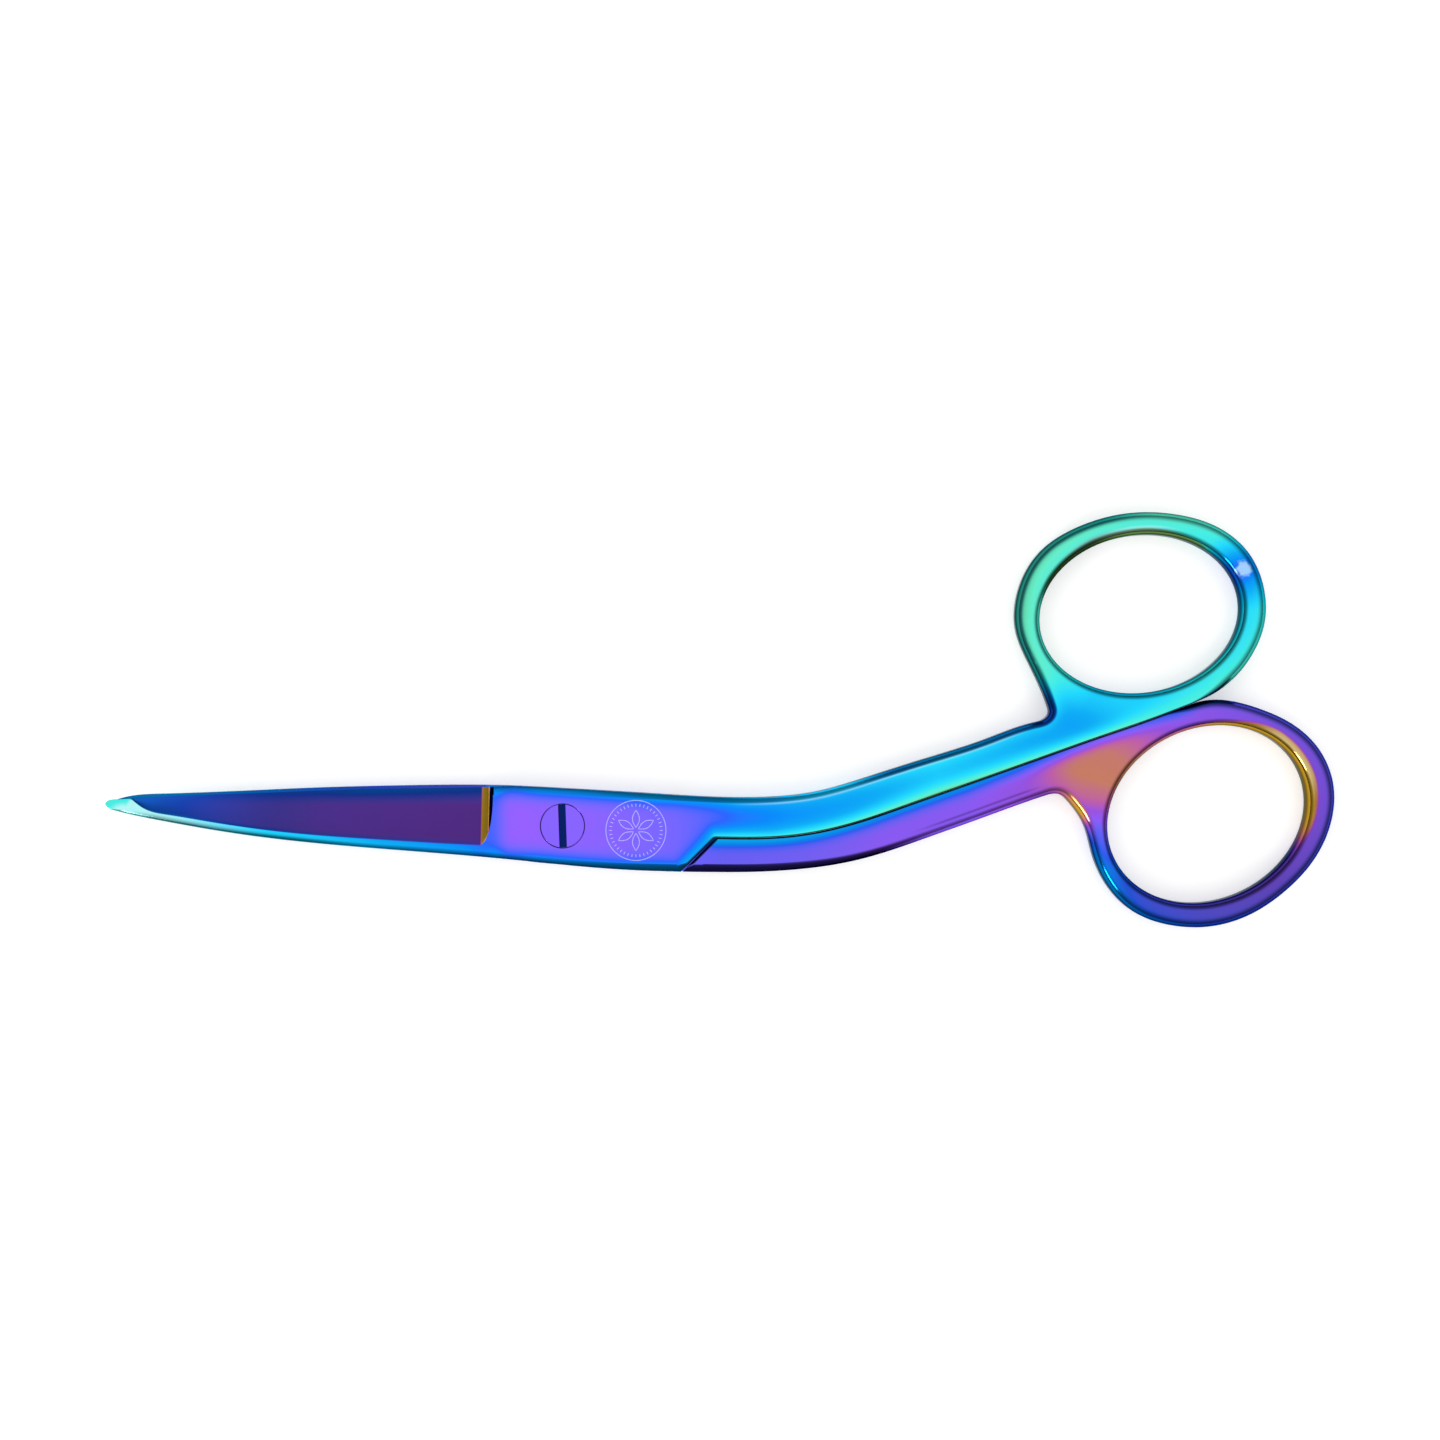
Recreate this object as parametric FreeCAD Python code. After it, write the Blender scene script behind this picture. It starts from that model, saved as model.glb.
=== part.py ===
import FreeCAD, Part

# Thinning shears, about six inches long, made as two forged halves, a flush pivot screw and a washer.
# Frame: the pivot axis is the Z axis, the blades point along -X and the finger rings lie towards +X.
# The shears lie flat on the plane z = 0, which is the outer face of the comb half.
# Closed position: the plain half is the upper layer in the lap joint and carries the upper (+Y) ring.

import os
from FreeCAD import Vector

# ---- driving dimensions (mm) ----
THICKNESS = 4.4            # whole thickness of the lap joint, the shanks and the rings
RIDE_GAP = 0.04            # gap between the two halves in the lap joint
PARTING_GAP = 0.2          # gap between the two shanks when closed, and between the shoulders along X
TIP_THICKNESS = 0.9        # thickness of each blade at its tip

HEAD_RADIUS = 2.68         # flush screw head
HEAD_HEIGHT = 1.1
SEAT_CLEARANCE = 0.07      # radial clearance of the head and the washer in the counterbore
WASHER_THICKNESS = 0.25
SHOULDER_RADIUS = 2.0      # plain bearing of the screw, inside the plain half
THREAD_RADIUS = 1.5        # major radius of the screw's thread, inside the comb half
FIT_CLEARANCE = 0.04       # radial clearance of the screw in both halves
SLOT_WIDTH = 0.87
SLOT_DEPTH = 0.6
SLOT_TILT = 2.0            # degrees from the Y axis

TOOTH_COUNT = 27
TOOTH_PITCH = 1.62
TOOTH_GAP = 0.8
FIRST_GAP_X = -11.2        # centre of the gap nearest the pivot
ROOT_Y_NEAR = 1.35         # where the first gap's round root is centred
ROOT_Y_FAR = 2.85          # and the last one's
NOTCH_DEPTH = 0.3          # the V in a tooth's end
NOTCH_SHARE = 0.7          # and its width, as a share of the tooth's

RING_ROUNDING = 1.2        # edge radius of the finger rings' outer edges
HOLE_ROUNDING = 1.1        # edge radius of the finger holes
SHANK_ROUNDING = 0.9       # edge radius of the shanks' outer edges
JOINT_ROUNDING = 0.7       # edge radius of the lap joint's outer edges
TIP_ROUNDING = 0.5         # edge radius of the blades' spines at the tip
GROOVE_ROUNDING = 0.3      # edge radius along the parting line and the shoulder

# ---- derived levels ----
MID = THICKNESS / 2
PLAIN_FACE = MID + RIDE_GAP / 2      # inner face of the plain half
COMB_FACE = MID - RIDE_GAP / 2       # inner face of the comb half
HEAD_BASE = THICKNESS - HEAD_HEIGHT
SEAT_LEVEL = HEAD_BASE - WASHER_THICKNESS

# ---- plan outlines, hand-picked points (x, y) joined by smooth curves ----
TIP = (-56.7, 2.75)
BLADE_SPINE = [TIP, (-56.35, 2.2), (-55.6, 1.88), (-54.4, 1.57), (-50, 0.65), (-40, -1.05), (-28, -2.4),
               (-14, -3.5), (-6, -4.2)]
JOINT_BOTTOM = [(-6, -4.2), (2, -5.0), (9, -5.5), (14.6, -5.68)]
PARTING = [(18.9, -1.45), (23.2, -1.5), (27.6, -1.3), (32, -0.65), (37, 0.65), (43, 2.7), (50, 5.15),
           (58, 8.0), (66, 10.85), (74, 13.65), (77, 14.8)]
UPPER_RING_TURN = [(80.6, 16.4), (83.2, 18.4)]
UPPER_RING = [(85.6, 21.7), (86.85, 25.2), (86.7, 29.6), (84.9, 33.7), (81.3, 36.8), (76, 38.5), (70, 38.68),
              (64, 37.1), (59, 33.85), (56.35, 29.0), (56.1, 24.2), (57.7, 20.1)]
UPPER_CROTCH = [(59.3, 16.7), (60.0, 14.9), (60.15, 13.9), (59.65, 13.25), (58.4, 12.8)]
SHANK_TOP = [(52, 10.6), (45, 8.35), (39, 6.45), (34.6, 5.05), (31, 4.15), (27.5, 3.68), (22, 3.47),
             (14.8, 3.74)]
JOINT_TOP = [(6, 4.28), (0, 4.62), (-6, 4.92)]
CUTTING_EDGE = [(-6, 4.92), (-9, 4.78), (-21.5, 4.53), (-40, 3.93), (-51.6, 3.45), (-55.4, 3.24),
                (-56.4, 3.04), TIP]
COMB_SPINE = [(-12, 5.03), (-20, 4.95), (-30, 4.7), (-40, 4.28), (-50, 3.92), (-54.4, 3.52), (-56.5, 2.85)]
COMB_TEETH = [(-56.5, 2.85), (-54, 2.0), (-50, 1.15), (-40, -0.5), (-28, -1.85), (-14, -2.95), (-9.5, -3.3)]
SHANK_BOTTOM = [(14.6, -5.68), (19.5, -5.74), (24.5, -5.68), (29.5, -5.35), (34.5, -4.65), (39.3, -3.45),
                (45, -1.5), (51, 0.65), (56.5, 2.65)]
LOWER_CROTCH = [(59.6, 3.7), (60.9, 3.95), (61.7, 3.75), (62.6, 2.95), (64.6, -0.1)]
LOWER_RING = [(65.5, -3.3), (67.2, -7.2), (70.5, -10.6), (75.5, -12.4), (80.5, -12.45), (85.3, -10.9),
              (89.4, -8.1), (92.9, -4.3), (95.0, 0.2), (95.35, 5.0), (93.4, 9.7), (90, 12.75), (86, 14.55)]
LOWER_RING_TURN = [(82.6, 15.45), (79.6, 15.5)]
REAR_SHOULDER_TOP = (14.6, 3.74)

# Each finger hole is an ellipse: centre, long and short half-axes, and tilt of the long one.
UPPER_HOLE = ((71.4, 26.2), 12.5, 9.75, 9.0)
LOWER_HOLE = ((79.7, 1.4), 12.7, 10.6, 25.0)

# Hollow-ground facet of the plain blade: at each x, the ridge (y, z) and the y of the cutting edge.
FACET_END_X = -8.5
FACET_SECTIONS = [(FACET_END_X, (-2.5, 4.35), 4.8), (-32.0, (-1.15, 3.76), 4.24), (-57.0, (3.0, 3.1), 4.5)]
EDGE_LAND = 0.22           # height of the flat land left at the cutting edge
HOLLOW = 0.08              # how far the facet sags below a flat one
PLUNGE_RADIUS = 2.0        # where the facet runs up into the joint
EDGE_OVERRUN = 1.5         # how far the grinding wheel runs out past the cutting edge

# The bevel that thins the comb's teeth: its width, and how much it rises over that width.
BEVEL_WIDTH = 7.0
BEVEL_RISE = 1.9

# Places well clear of the blades and the joint, where the cutting shapes end.
CLEAR_X = -60.0
CLEAR_Y = 9.0
OPEN_LEVEL = 8.0


def at(point, z=0.0):
    return Vector(point[0], point[1], z)


def shifted(points, dy):
    return [(x, y + dy) for x, y in points]


def curve_edges(*runs):
    """One smooth curve through all the runs, returned as one edge per run."""
    points = [point for run in runs for point in run]
    curve = Part.BSplineCurve()
    curve.interpolate([at(point) for point in points])
    breaks = [curve.FirstParameter]
    count = 0
    for run in runs[:-1]:
        count += len(run)
        breaks.append(curve.parameter(at(points[count - 1])))
    breaks.append(curve.LastParameter)
    return [curve.toShape(start, end) for start, end in zip(breaks, breaks[1:])]


def line_edge(start, end):
    return Part.makeLine(at(start), at(end))


def prism(edges, low, high):
    """The outline of the edges, filled and raised from level low to level high."""
    wire = Part.Wire(Part.__sortEdges__(edges))
    face = Part.Face(wire)
    face.translate(Vector(0, 0, low))
    return face.extrude(Vector(0, 0, high - low))


def polygon_prism(points, low, high):
    wire = Part.makePolygon([at(point, low) for point in points + points[:1]])
    return Part.Face(wire).extrude(Vector(0, 0, high - low))


def hole_edge(hole):
    """The finger hole's ellipse in the plane z = 0."""
    centre, long_half, short_half, tilt = hole
    edge = Part.Ellipse(Vector(0, 0, 0), long_half, short_half).toShape()
    edge.rotate(Vector(0, 0, 0), Vector(0, 0, 1), tilt)
    edge.translate(at(centre))
    return edge


def cylinder(radius, low, high):
    return Part.makeCylinder(radius, high - low, Vector(0, 0, low))


def edges_on(shape, sample, level):
    """The numbers of the shape's edges in the plane z = level whose middle lies on the sample edge."""
    found = []
    for number, edge in enumerate(shape.Edges, 1):
        box = edge.BoundBox
        if abs(box.ZMin - level) > 0.01 or abs(box.ZMax - level) > 0.01:
            continue
        middle = edge.valueAt((edge.FirstParameter + edge.LastParameter) / 2)
        probe = Part.Vertex(Vector(middle.x, middle.y, 0))
        if probe.distToShape(sample)[0] < 0.02:
            found.append(number)
    return found


def rounded(shape, roundings):
    """The shape with edges rounded. Each rounding is (plan edge, level, radius at its start, at its end)."""
    document = FreeCAD.newDocument()
    base = document.addObject("Part::Feature", "Base")
    base.Shape = shape
    fillet = document.addObject("Part::Fillet", "Rounded")
    fillet.Base = base
    fillet.Edges = [(number, start, end) for sample, level, start, end in roundings
                    for number in edges_on(shape, sample, level)]
    document.recompute()
    result = fillet.Shape.copy()
    FreeCAD.closeDocument(document.Name)
    return result


def chain_roundings(edges, radii, level):
    """Roundings for a chain of edges: one more radius than edges, met at each joint of the chain."""
    return [(edge, level, start, end) for edge, start, end in zip(edges, radii, radii[1:])]


def finger_hole(shape, hole):
    """Cuts the finger hole and rounds its two edges."""
    edge = hole_edge(hole)
    pierced = shape.cut(prism([edge], 0, THICKNESS))
    return rounded(pierced, [(edge, level, HOLE_ROUNDING, HOLE_ROUNDING) for level in (0, THICKNESS)])


def taper_wedge(outer_z, tip_z, open_z):
    """What thins a blade from the joint to its tip: between a sloping plane and the level open_z."""
    profile = [(FACET_END_X, outer_z), (TIP[0] - 1, tip_z), (TIP[0] - 1, open_z), (FACET_END_X, open_z)]
    wire = Part.makePolygon([Vector(x, -CLEAR_Y, z) for x, z in profile + profile[:1]])
    return Part.Face(wire).extrude(Vector(0, 2 * CLEAR_Y, 0))


def facet_section(x, ridge, edge_y, edge_z, open_z):
    """A section across the facet cutter: an arc from the ridge past the edge, closed above the blade."""
    ridge_y, ridge_z = ridge
    slope = (edge_z - ridge_z) / (edge_y - ridge_y)
    far = Vector(x, edge_y + EDGE_OVERRUN, edge_z + slope * EDGE_OVERRUN)
    middle = Vector(x, (ridge_y + far.y) / 2, (ridge_z + far.z) / 2 - HOLLOW)
    near = Vector(x, ridge_y, ridge_z)
    arc = Part.Arc(near, middle, far).toShape()
    top = Part.makePolygon([far, Vector(x, far.y, open_z), Vector(x, ridge_y, open_z), near])
    return Part.Wire([arc] + top.Edges)


def facet_cutter():
    """What the grinding wheel takes off the outer side of the plain blade."""
    wires = [facet_section(x, ridge, edge_y, PLAIN_FACE + EDGE_LAND, OPEN_LEVEL)
             for x, ridge, edge_y in FACET_SECTIONS]
    cutter = Part.makeLoft(wires, True, False)
    plunge = [edge for edge in cutter.Edges
              if abs(edge.BoundBox.XMin - FACET_END_X) < 0.01 and abs(edge.BoundBox.XMax - FACET_END_X) < 0.01
              and isinstance(edge.Curve, (Part.Circle, Part.BSplineCurve)) and edge.BoundBox.ZMax < 5]
    return cutter.makeFillet(PLUNGE_RADIUS, plunge)


def plain_blade_half():
    """Upper layer of the joint: plain blade, upper shank and upper ring, in one forging."""
    chain = curve_edges(shifted(PARTING, PARTING_GAP / 2), UPPER_RING_TURN, UPPER_RING, UPPER_CROTCH,
                        SHANK_TOP, JOINT_TOP)
    spine = curve_edges(BLADE_SPINE, JOINT_BOTTOM[1:])
    shoulder = line_edge(JOINT_BOTTOM[-1], shifted(PARTING, PARTING_GAP / 2)[0])
    body = prism(chain + spine + [shoulder] + curve_edges(CUTTING_EDGE), 0, THICKNESS)
    upper_radii = [GROOVE_ROUNDING, GROOVE_ROUNDING, RING_ROUNDING, RING_ROUNDING, SHANK_ROUNDING,
                   SHANK_ROUNDING, JOINT_ROUNDING]
    body = rounded(body, chain_roundings(chain, upper_radii, THICKNESS)
                   + chain_roundings(chain[:5], upper_radii, 0)
                   + chain_roundings(spine, [TIP_ROUNDING, JOINT_ROUNDING, JOINT_ROUNDING], THICKNESS))
    body = finger_hole(body, UPPER_HOLE)
    shoulder_x = PARTING[0][0] + PARTING_GAP
    shoulder_top_x = REAR_SHOULDER_TOP[0] + PARTING_GAP
    under_joint = [(CLEAR_X, -CLEAR_Y), (shoulder_x, -CLEAR_Y), (shoulder_x, PARTING[0][1]),
                   (shoulder_top_x, REAR_SHOULDER_TOP[1]), (shoulder_top_x, CLEAR_Y), (CLEAR_X, CLEAR_Y)]
    body = body.cut(polygon_prism(under_joint, -1, PLAIN_FACE))
    body = body.cut(taper_wedge(THICKNESS, PLAIN_FACE + TIP_THICKNESS, THICKNESS + 1))
    body = body.cut(facet_cutter())
    body = body.cut(cylinder(HEAD_RADIUS + SEAT_CLEARANCE, SEAT_LEVEL, THICKNESS + 1))
    return body.cut(cylinder(SHOULDER_RADIUS + FIT_CLEARANCE, 0, THICKNESS))


def tooth_gap(x, root_y):
    """One gap between two teeth, open downwards and round at its root."""
    radius = TOOTH_GAP / 2
    gap = Part.makeBox(TOOTH_GAP, CLEAR_Y, MID + 1, Vector(x - radius, root_y - CLEAR_Y, -1))
    return gap.fuse(Part.makeCylinder(radius, MID + 1, Vector(x, root_y, -1)))


def tooth_notch(x, end_y):
    """The small V in a tooth's end that holds the hair."""
    half_tooth = (TOOTH_PITCH - TOOTH_GAP) / 2
    half_notch = half_tooth * NOTCH_SHARE
    points = [(x - half_tooth, end_y - 1), (x + half_tooth, end_y - 1), (x + half_notch, end_y),
              (x, end_y + NOTCH_DEPTH), (x - half_notch, end_y)]
    return polygon_prism(points, -1, MID + 1)


def comb_cutters():
    """Every gap and notch of the comb, with roots and ends that follow the blade's taper."""
    ends = curve_edges(COMB_TEETH)[0]
    cutters = []
    for number in range(TOOTH_COUNT):
        x = FIRST_GAP_X - number * TOOTH_PITCH
        share = number / (TOOTH_COUNT - 1)
        cutters.append(tooth_gap(x, ROOT_Y_NEAR + share * (ROOT_Y_FAR - ROOT_Y_NEAR)))
        tooth_x = x + TOOTH_PITCH / 2
        plumb = Part.makeLine(Vector(tooth_x, -CLEAR_Y, 0), Vector(tooth_x, CLEAR_Y, 0))
        end_y = ends.distToShape(plumb)[1][0][0].y
        cutters.append(tooth_notch(tooth_x, end_y))
    return cutters


def comb_bevel():
    """What thins the teeth from their roots to their ends, with a round run-up at the joint."""
    def section(x, root_y, root_z):
        far_y = root_y - BEVEL_WIDTH
        points = [(root_y, root_z), (far_y, root_z + BEVEL_RISE), (far_y, -2), (root_y, -2)]
        return Part.makePolygon([Vector(x, y, z) for y, z in points + points[:1]])
    cutter = Part.makeLoft([section(FACET_END_X, ROOT_Y_NEAR + 1, 0.0),
                            section(TIP[0] - 1, ROOT_Y_FAR + 0.5, 0.9)], True, True)
    run_up = [edge for edge in cutter.Edges
              if edge.BoundBox.XMin > FACET_END_X - 0.01 and edge.BoundBox.ZMin > -0.01]
    return cutter.makeFillet(PLUNGE_RADIUS, run_up)


def comb_blade_half():
    """Lower layer of the joint: comb blade, lower shank and lower ring, in one forging."""
    parting = shifted(PARTING[::-1], -PARTING_GAP / 2)
    chain = curve_edges(SHANK_BOTTOM, LOWER_CROTCH, LOWER_RING, LOWER_RING_TURN, parting)
    joint_top = curve_edges([REAR_SHOULDER_TOP] + JOINT_TOP, COMB_SPINE)
    teeth = curve_edges(COMB_TEETH + JOINT_BOTTOM)
    shoulder = line_edge(parting[-1], REAR_SHOULDER_TOP)
    body = prism(chain + joint_top + teeth + [shoulder], 0, THICKNESS)
    radii = [SHANK_ROUNDING, SHANK_ROUNDING, RING_ROUNDING, RING_ROUNDING, GROOVE_ROUNDING, GROOVE_ROUNDING]
    body = rounded(body, chain_roundings(chain, radii, THICKNESS) + chain_roundings(chain, radii, 0)
                   + chain_roundings(joint_top, [JOINT_ROUNDING, JOINT_ROUNDING, TIP_ROUNDING], 0))
    body = finger_hole(body, LOWER_HOLE)
    shoulder_x = PARTING[0][0] + PARTING_GAP
    shoulder_low_x = JOINT_BOTTOM[-1][0] + PARTING_GAP
    over_joint = [(CLEAR_X, -CLEAR_Y), (shoulder_low_x, -CLEAR_Y), (shoulder_low_x, JOINT_BOTTOM[-1][1]),
                  (shoulder_x, PARTING[0][1]), (shoulder_x, CLEAR_Y), (CLEAR_X, CLEAR_Y)]
    body = body.cut(polygon_prism(over_joint, COMB_FACE, THICKNESS + 1))
    body = body.cut(taper_wedge(0, COMB_FACE - TIP_THICKNESS, -1))
    body = body.cut(comb_bevel())
    body = body.cut(comb_cutters())
    return body.cut(cylinder(THREAD_RADIUS + FIT_CLEARANCE, -1, THICKNESS))


def pivot_screw():
    """Slotted flat head, plain shoulder and threaded end."""
    screw = cylinder(HEAD_RADIUS, HEAD_BASE, THICKNESS)
    screw = screw.fuse(cylinder(SHOULDER_RADIUS, MID, HEAD_BASE))
    screw = screw.fuse(cylinder(THREAD_RADIUS, 0, MID))
    slot = Part.makeBox(SLOT_WIDTH, 4 * HEAD_RADIUS, THICKNESS,
                        Vector(-SLOT_WIDTH / 2, -2 * HEAD_RADIUS, THICKNESS - SLOT_DEPTH))
    slot.rotate(Vector(0, 0, 0), Vector(0, 0, 1), SLOT_TILT)
    return screw.cut(slot).removeSplitter()


def pivot_washer():
    ring = cylinder(HEAD_RADIUS, SEAT_LEVEL, HEAD_BASE)
    return ring.cut(cylinder(SHOULDER_RADIUS + FIT_CLEARANCE, 0, THICKNESS))


def write(name, shape):
    shape.exportStep("parts/" + name + ".step")
    print(name, "solids", len(shape.Solids), "valid", shape.isValid(), "volume", round(shape.Volume, 1))


os.makedirs("parts", exist_ok=True)
write("plain_blade_half", plain_blade_half())
write("comb_blade_half", comb_blade_half())
write("pivot_screw", pivot_screw())
write("pivot_washer", pivot_washer())
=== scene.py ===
import math

import bmesh
import bpy
import numpy as np
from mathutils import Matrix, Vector
from mathutils.geometry import delaunay_2d_cdt


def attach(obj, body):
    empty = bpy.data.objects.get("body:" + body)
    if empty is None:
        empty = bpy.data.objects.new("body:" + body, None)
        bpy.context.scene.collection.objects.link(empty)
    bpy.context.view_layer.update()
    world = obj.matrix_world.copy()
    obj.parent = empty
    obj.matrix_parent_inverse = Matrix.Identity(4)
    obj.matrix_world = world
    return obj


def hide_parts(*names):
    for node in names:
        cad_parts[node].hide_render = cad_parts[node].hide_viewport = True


# Thinning shears: two polished forgings with a rainbow coating, a flush screw and an etched mark.
# Lengths are in millimetres until a mesh is made. The pivot axis is Z and the blades point along -X.

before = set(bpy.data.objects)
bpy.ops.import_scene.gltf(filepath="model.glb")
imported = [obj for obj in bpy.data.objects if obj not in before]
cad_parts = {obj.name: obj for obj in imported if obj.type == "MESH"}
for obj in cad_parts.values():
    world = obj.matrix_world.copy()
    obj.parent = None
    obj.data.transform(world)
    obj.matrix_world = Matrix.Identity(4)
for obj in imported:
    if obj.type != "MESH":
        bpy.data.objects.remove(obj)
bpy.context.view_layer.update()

MM = 0.001

# ---- studio settings ----
CAMERA_HEIGHT = 320.0      # above the middle of the shears' thickness
FRAME_WIDTH = 178.7        # how much of the shears' plane the picture spans
FRAME_CENTRE = (19.42, 13.06)
WORLD_STRENGTH = 1.35
# How bright the surroundings are, from the horizon (0) to straight above (1).
WORLD_LEVELS = [(0.0, 0.26), (0.2, 0.26), (0.45, 0.38), (0.7, 0.72), (0.88, 0.97), (1.0, 1.0)]
FLOOR_GLOW = 0.42
BOX_POWER = 0.8
BOX_SIZE = (0.16, 0.12)    # in metres, as are the two places below
BOX_PLACE = (-0.35, -0.36, 0.26)
BOX_TARGET = (0.04, 0.01, 0.0)

# ---- levels ----
THICKNESS = 4.4
PLAIN_FACE = 2.22          # inner face of the plain half
COMB_FACE = 2.18           # inner face of the comb half
TIP_THICKNESS = 0.9
JOINT_END_X = -8.5         # where the blades begin
TIP_X = -56.7
HEAD_BASE = 3.3
SEAT_LEVEL = 3.05

# ---- plan outlines, the same as the CAD's ----
TIP = (-56.7, 2.75)
PARTING_GAP = 0.12
TIP_NOSE = [TIP, (-56.35, 2.2), (-55.6, 1.88), (-54.4, 1.57)]
BLADE_SPINE = [(-50, 0.65), (-40, -1.05), (-28, -2.4), (-14, -3.5), (-6, -4.2)]
JOINT_BOTTOM = [(2, -5.0), (9, -5.5), (14.6, -5.68)]
PARTING = [(18.9, -1.45), (23.2, -1.5), (27.6, -1.3), (32, -0.65), (37, 0.65), (43, 2.7), (50, 5.15),
           (58, 8.0), (66, 10.85), (74, 13.65), (77, 14.8)]
UPPER_RING_TURN = [(80.6, 16.4), (83.2, 18.4)]
UPPER_RING = [(85.6, 21.7), (86.85, 25.2), (86.7, 29.6), (84.9, 33.7), (81.3, 36.8), (76, 38.5), (70, 38.68),
              (64, 37.1), (59, 33.85), (56.35, 29.0), (56.1, 24.2), (57.7, 20.1)]
UPPER_CROTCH = [(59.3, 16.7), (60.0, 14.9), (60.15, 13.9), (59.65, 13.25), (58.4, 12.8)]
SHANK_TOP = [(52, 10.6), (45, 8.35), (39, 6.45), (34.6, 5.05), (31, 4.15), (27.5, 3.68), (22, 3.47),
             (14.8, 3.74)]
JOINT_TOP = [(6, 4.28), (0, 4.62), (-6, 4.92)]
CUTTING_EDGE = [(-6, 4.92), (-9, 4.78), (-21.5, 4.53), (-40, 3.93), (-51.6, 3.45), (-55.4, 3.24),
                (-56.4, 3.04), TIP]
COMB_SPINE = [(-12, 5.03), (-20, 4.95), (-30, 4.7), (-40, 4.28), (-50, 3.92), (-54.4, 3.52), (-56.5, 2.85)]
COMB_TEETH = [(-56.5, 2.85), (-54, 2.0), (-50, 1.15), (-40, -0.5), (-28, -1.85), (-14, -2.95), (-9.5, -3.3)]
SHANK_BOTTOM = [(14.8, -5.69), (19.5, -5.74), (24.5, -5.68), (29.5, -5.35), (34.5, -4.65), (39.3, -3.45),
                (45, -1.5), (51, 0.65), (56.5, 2.65)]
LOWER_CROTCH = [(59.6, 3.7), (60.9, 3.95), (61.7, 3.75), (62.6, 2.95), (64.6, -0.1)]
LOWER_RING = [(65.5, -3.3), (67.2, -7.2), (70.5, -10.6), (75.5, -12.4), (80.5, -12.45), (85.3, -10.9),
              (89.4, -8.1), (92.9, -4.3), (95.0, 0.2), (95.35, 5.0), (93.4, 9.7), (90, 12.75), (86, 14.55)]
LOWER_RING_TURN = [(82.6, 15.45), (79.6, 15.5)]
REAR_SHOULDER_TOP = (14.6, 3.74)
UPPER_HOLE = ((71.4, 26.2), 12.5, 9.75, 9.0)
LOWER_HOLE = ((79.7, 1.4), 12.7, 10.6, 25.0)

# ---- rims: how far an edge is rounded inwards, how far it drops, and its power ----
# A power of 2 is round, and one near 1 is a bevel.
NO_RIM = (0.03, 0.02, 2.0)
KEEN = (0.12, 0.04, 2.0)
NOSE = (0.35, 0.25, 1.4)
SPINE = (0.75, 0.4, 1.3)
JOINT_LOW = (0.95, 0.68, 1.12)
JOINT_HIGH = (0.95, 0.42, 1.3)
SHOULDER = (0.35, 0.3, 1.3)
GROOVE = (0.16, 0.16, 1.6)
SHANK_LOW = (1.05, 0.85, 1.1)
SHANK_HIGH = (0.7, 0.5, 1.15)
CROTCH = (0.95, 0.95, 1.6)
RING = (1.5, 1.45, 2.0)
HOLE = (1.1, 1.35, 2.0)
TOOTH = (0.1, 0.1, 2.0)
SEAT_RIM = (0.08, 0.08, 2.0)

STEP = 0.25                # distance between outline samples
PROFILE_STEPS = 12         # loops across a rim
SHARP_TURN = math.radians(50)
OUTER_SHARE, HOLE_SHARE = 0.53, 0.40     # how much of a narrow part each of its two rims may take
CROWN, CROWN_REACH = 0.035, 0.9    # how far polishing lowers a flat face by its edges, and over what distance
FACET_START_X = JOINT_END_X - 1.95
PLUNGE_RADIUS = 1.9
RUN_OUT_REACH = 3.6        # how near a shank's end its bevel is cut by run_out
NOWHERE = 10.0             # the level of a cut where it touches nothing
FACET_SLOPE = 0.4          # the steepest that the facet may be near the tip
EDGE_LEVEL = PLAIN_FACE + 0.22
HOLLOW = 0.1
RIDGE = [(-54.4, 4.2), (-53.4, 3.3), (-52.6, 2.6), (-51.6, 1.95), (-49.1, 1.32), (-43.6, 0.4),
         (-35, -0.8), (-21.5, -1.85), (-12, -2.4), (-6, -2.65)]

TOOTH_COUNT, TOOTH_PITCH, TOOTH_GAP = 27, 1.62, 0.8
FIRST_GAP_X = -11.2
ROOT_Y_NEAR, ROOT_Y_FAR = 1.35, 2.85
NOTCH_DEPTH, NOTCH_SHARE = 0.3, 0.6      # the share is of the tooth's width

HEAD_RADIUS, HEAD_RIM = 2.68, (0.05, 0.05, 2.0)
SLOT_WIDTH, SLOT_DEPTH, SLOT_TILT = 0.87, 0.6, 2.0
SEAT_RADIUS, SHOULDER_BORE, THREAD_BORE = 2.74, 2.04, 1.54
# The screw's radius and height below its head, from the head down.
LATHE = [(HEAD_RADIUS, HEAD_BASE), (2.0, HEAD_BASE), (2.0, 2.2), (1.5, 2.2), (1.5, 0.1), (1.4, 0.0)]

MARK_CENTRE = (9.06, -0.55)
MARK_RADIUS = 3.7
MARK_LINE = 0.09
MARK_LEVEL = THICKNESS + 0.004
MARK_DASHES, MARK_DASH_FROM, MARK_DASH_TO = 40, 2.95, 3.3
MARK_PETALS, MARK_PETAL, MARK_PETAL_WIDTH = 6, 2.5, 0.2
PETAL_START, PETAL_END = 0.14, 0.86      # as shares of a petal's reach


# ---- curves and outlines ----

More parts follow.
